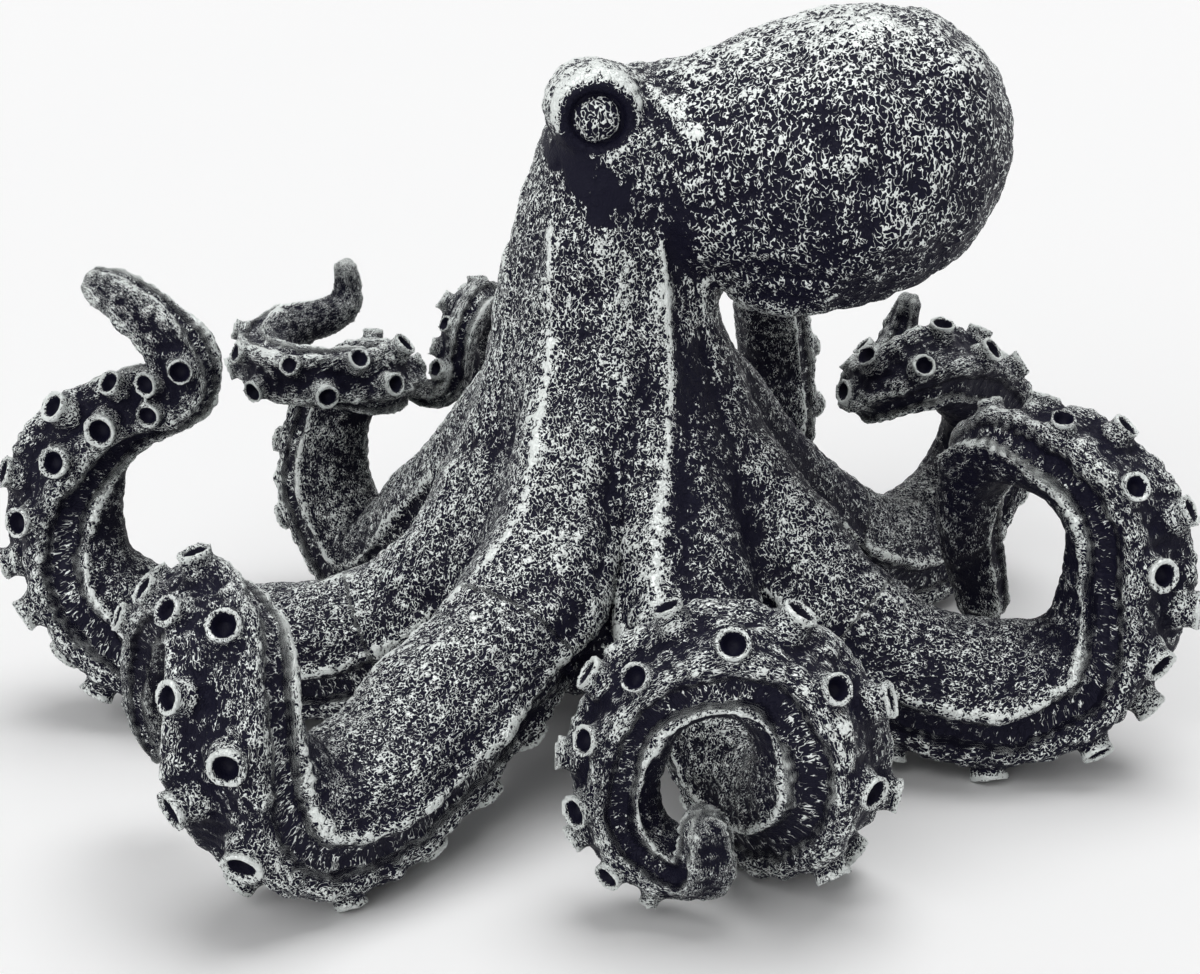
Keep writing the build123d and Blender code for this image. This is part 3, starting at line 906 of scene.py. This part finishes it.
# The grain's own coordinates, drawn out along the arms and across the bands of their flanks
arm_grain = [
    GRAIN_ROUND * across,
    GRAIN_ROUND * up * (1 - BAND_GRAIN_UP * band),
    along * (GRAIN_ALONG + BAND_GRAIN_ALONG * band),
]
arm_grain = np.stack(arm_grain, axis=1) + GRAIN_APART * arm[:, None]
grain = np.where((part >= 0)[:, None], arm_grain, skin.at * BODY_GRAIN)


def piece(name, label):
    """One casting: its share of the skin, closed where the glue seam is."""
    quads = skin.quads[part[skin.quads[:, 0]] == label]
    used, corners = np.unique(quads, return_inverse=True)
    corners = corners.reshape(-1, 4)
    mesh = bpy.data.meshes.new(name)
    mesh.vertices.add(len(used))
    mesh.vertices.foreach_set("co", (skin.at[used] * MM).astype(np.float32).ravel())
    mesh.loops.add(corners.size)
    mesh.loops.foreach_set("vertex_index", corners.astype(np.int32).ravel())
    mesh.polygons.add(len(corners))
    mesh.polygons.foreach_set("loop_start", np.arange(0, corners.size, 4, dtype=np.int32))
    mesh.polygons.foreach_set("use_smooth", np.ones(len(corners), bool))
    mesh.update(calc_edges=True)
    for mark, values in marks.items():
        layer = mesh.attributes.new(mark, "FLOAT", "POINT")
        layer.data.foreach_set("value", values[used].astype(np.float32))
    layer = mesh.attributes.new("grain", "FLOAT_VECTOR", "POINT")
    layer.data.foreach_set("vector", grain[used].astype(np.float32).ravel())
    bm = bmesh.new()
    bm.from_mesh(mesh)
    rim = [e for e in bm.edges if e.is_boundary]
    caps = bmesh.ops.holes_fill(bm, edges=rim, sides=0)["faces"]
    for face in bmesh.ops.poke(bm, faces=caps)["faces"]:
        face.smooth = False
    bm.to_mesh(mesh)
    bm.free()
    mesh.materials.append(paint)
    shape = bpy.data.objects.new(name, mesh)
    bpy.context.scene.collection.objects.link(shape)
    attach(shape, "root")
    return shape


class Nodes:
    """The node tree of a material or the world, built a call at a time."""

    def __init__(self, owner):
        owner.use_nodes = True
        self.owner = owner
        self.tree = owner.node_tree
        self.tree.nodes.clear()

    def add(self, kind, settings=None, **inputs):
        node = self.tree.nodes.new(kind)
        for key, value in (settings or {}).items():
            setattr(node, key, value)
        for key, value in inputs.items():
            slot = node.inputs[int(key[1:]) if key[0] == "_" else key.replace("_", " ")]
            if isinstance(value, bpy.types.NodeSocket):
                self.tree.links.new(value, slot)
            else:
                slot.default_value = value
        return node

    def math(self, operation, *values):
        inputs = {f"_{i}": value for i, value in enumerate(values)}
        return self.add("ShaderNodeMath", {"operation": operation}, **inputs).outputs[0]

    def mapped(self, value, low, high, to_low=0.0, to_high=1.0):
        ends = {"_1": low, "_2": high, "_3": to_low, "_4": to_high}
        settings = {"interpolation_type": "SMOOTHSTEP"}
        return self.add("ShaderNodeMapRange", settings, _0=value, **ends).outputs[0]

    def noise(self, vector, scale, detail, distortion=0.0):
        inputs = {"Vector": vector, "Scale": scale, "Detail": detail, "Distortion": distortion}
        return self.add("ShaderNodeTexNoise", **inputs).outputs["Fac"]

    def mark(self, name, output="Fac"):
        return self.add("ShaderNodeAttribute", {"attribute_name": name}).outputs[output]

    def blend(self, share, first, second):
        return self.add("ShaderNodeMix", None, _0=share, _2=first, _3=second).outputs[0]

    def colour(self, share, dark, light):
        settings = {"data_type": "RGBA"}
        return self.add("ShaderNodeMix", settings, _0=share, _6=dark, _7=light).outputs[2]


def resin_paint():
    nodes = Nodes(bpy.data.materials.new("dry_brushed_resin"))
    grain = nodes.mark("grain", "Vector")

    # Relief of the grain, nought to one: worm lines, fine or coarse, then blobs and specks
    worms = []
    for scale, width in (FINE_WORM, COARSE_WORM):
        from_line = nodes.math("SUBTRACT", nodes.noise(grain, scale, 1.0, 0.35), 0.5)
        worms.append(nodes.mapped(nodes.math("ABSOLUTE", from_line), width, 0.0))
    line = nodes.math("MULTIPLY", nodes.blend(nodes.mark("coarse"), *worms), WORM_SHARE)
    blob = nodes.mapped(nodes.noise(grain, 0.55, 2.0, 0.3), 0.36, 0.66)
    speck = nodes.mapped(nodes.noise(grain, 1.6, 1.5), 0.34, 0.66)
    relief = nodes.math("ADD", line, nodes.math("MULTIPLY", blob, BLOB_SHARE))
    relief = nodes.math("ADD", relief, nodes.math("MULTIPLY", speck, SPECK_SHARE))
    rough = nodes.math("SUBTRACT", 1.0, nodes.math("MULTIPLY", nodes.mark("bare"), 0.85))
    relief = nodes.math("MULTIPLY", relief, rough)

    # Silver lies where relief and the brush with its painted light and shade together pass one,
    # with broad uneven patches
    patches = nodes.math("SUBTRACT", nodes.noise(grain, 0.10, 2.0, 0.4), 0.5)
    cover = nodes.math("ADD", nodes.mark("brush_light_and_shade"), nodes.math("MULTIPLY", patches, 0.45))
    reached = nodes.math("SUBTRACT", nodes.math("ADD", relief, cover), 1.0)
    silver = nodes.mapped(reached, -0.05, 0.10)
    colour = nodes.colour(silver, GROUND_COAT, SILVER)
    bump = nodes.add("ShaderNodeBump", Strength=0.8, Distance=0.00030, Height=relief)
    shader = nodes.add(
        "ShaderNodeBsdfPrincipled",
        Base_Color=colour,
        Metallic=nodes.math("MULTIPLY", silver, 0.25),
        Roughness=nodes.mapped(silver, 0.0, 1.0, 0.48, 0.38),
        Specular_IOR_Level=0.1,
        Normal=bump.outputs[0],
    )
    nodes.add("ShaderNodeOutputMaterial", Surface=shader.outputs[0])
    return nodes.owner


def wire_metal():
    nodes = Nodes(bpy.data.materials.new("cut_wire"))
    where = nodes.add("ShaderNodeTexCoord").outputs["Object"]
    scratch = nodes.noise(where, 900.0, 3.0)
    shader = nodes.add(
        "ShaderNodeBsdfPrincipled",
        Base_Color=nodes.colour(scratch, (0.42, 0.42, 0.43, 1), (0.62, 0.62, 0.63, 1)),
        Metallic=1.0,
        Roughness=nodes.mapped(scratch, 0.3, 0.7, 0.28, 0.45),
    )
    nodes.add("ShaderNodeOutputMaterial", Surface=shader.outputs[0])
    return nodes.owner


def pale_floor():
    nodes = Nodes(bpy.data.materials.new("pale_floor"))
    where = nodes.add("ShaderNodeTexCoord").outputs["Object"]
    shade = nodes.noise(where, 3.0, 1.0)
    shader = nodes.add(
        "ShaderNodeBsdfPrincipled",
        Base_Color=nodes.colour(shade, (0.945, 0.945, 0.95, 1), (0.96, 0.96, 0.96, 1)),
        Roughness=0.8,
    )
    nodes.add("ShaderNodeOutputMaterial", Surface=shader.outputs[0])
    return nodes.owner


paint = resin_paint()
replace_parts(piece("body_skin", -1), "body_casting")
for k, name in enumerate(names):
    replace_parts(piece(f"{name}_skin", k), name)
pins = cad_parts["dowel_pins"]
pins.data.materials.clear()
pins.data.materials.append(wire_metal())

# Floor, light and camera
bpy.ops.mesh.primitive_plane_add(size=6, location=(0, 0, -0.0002))
floor = bpy.context.object
floor.name = "floor"
floor.data.materials.append(pale_floor())


def sun(name, towards, softness, strength):
    data = bpy.data.lights.new(name, "SUN")
    data.angle = math.radians(softness)
    data.energy = strength
    shape = bpy.data.objects.new(name, data)
    shape.rotation_euler = Vector(towards).to_track_quat("-Z", "Y").to_euler()
    bpy.context.scene.collection.objects.link(shape)


sun("top_light", (-0.10, -0.15, -1), 45, 1.6)
sun("front_light", (0.7, 1.0, -0.8), 50, 1.15)

# The world lights softly, and shows white to the camera, in reflections and through glass
studio = Nodes(bpy.data.worlds.new("studio"))
bpy.context.scene.world = studio.owner
path = studio.add("ShaderNodeLightPath").outputs
seen = studio.math("MAXIMUM", path["Is Camera Ray"], path["Is Glossy Ray"])
seen = studio.math("MAXIMUM", seen, path["Is Transmission Ray"])
strength = studio.mapped(seen, 0.0, 1.0, 0.27, 1.0)
sky = studio.add("ShaderNodeBackground", Color=(1, 1, 1, 1), Strength=strength)
studio.add("ShaderNodeOutputWorld", Surface=sky.outputs[0])

# Camera: from the front, twenty degrees down
camera_data = bpy.data.cameras.new("camera")
camera_data.lens = 75
camera_data.sensor_width = 36
camera = bpy.data.objects.new("camera", camera_data)
camera.location = (0.0033, -0.4681, 0.2176)
camera.rotation_euler = (math.radians(70), 0, 0)
bpy.context.scene.collection.objects.link(camera)
bpy.context.scene.camera = camera
bpy.context.scene.view_settings.view_transform = "Standard"
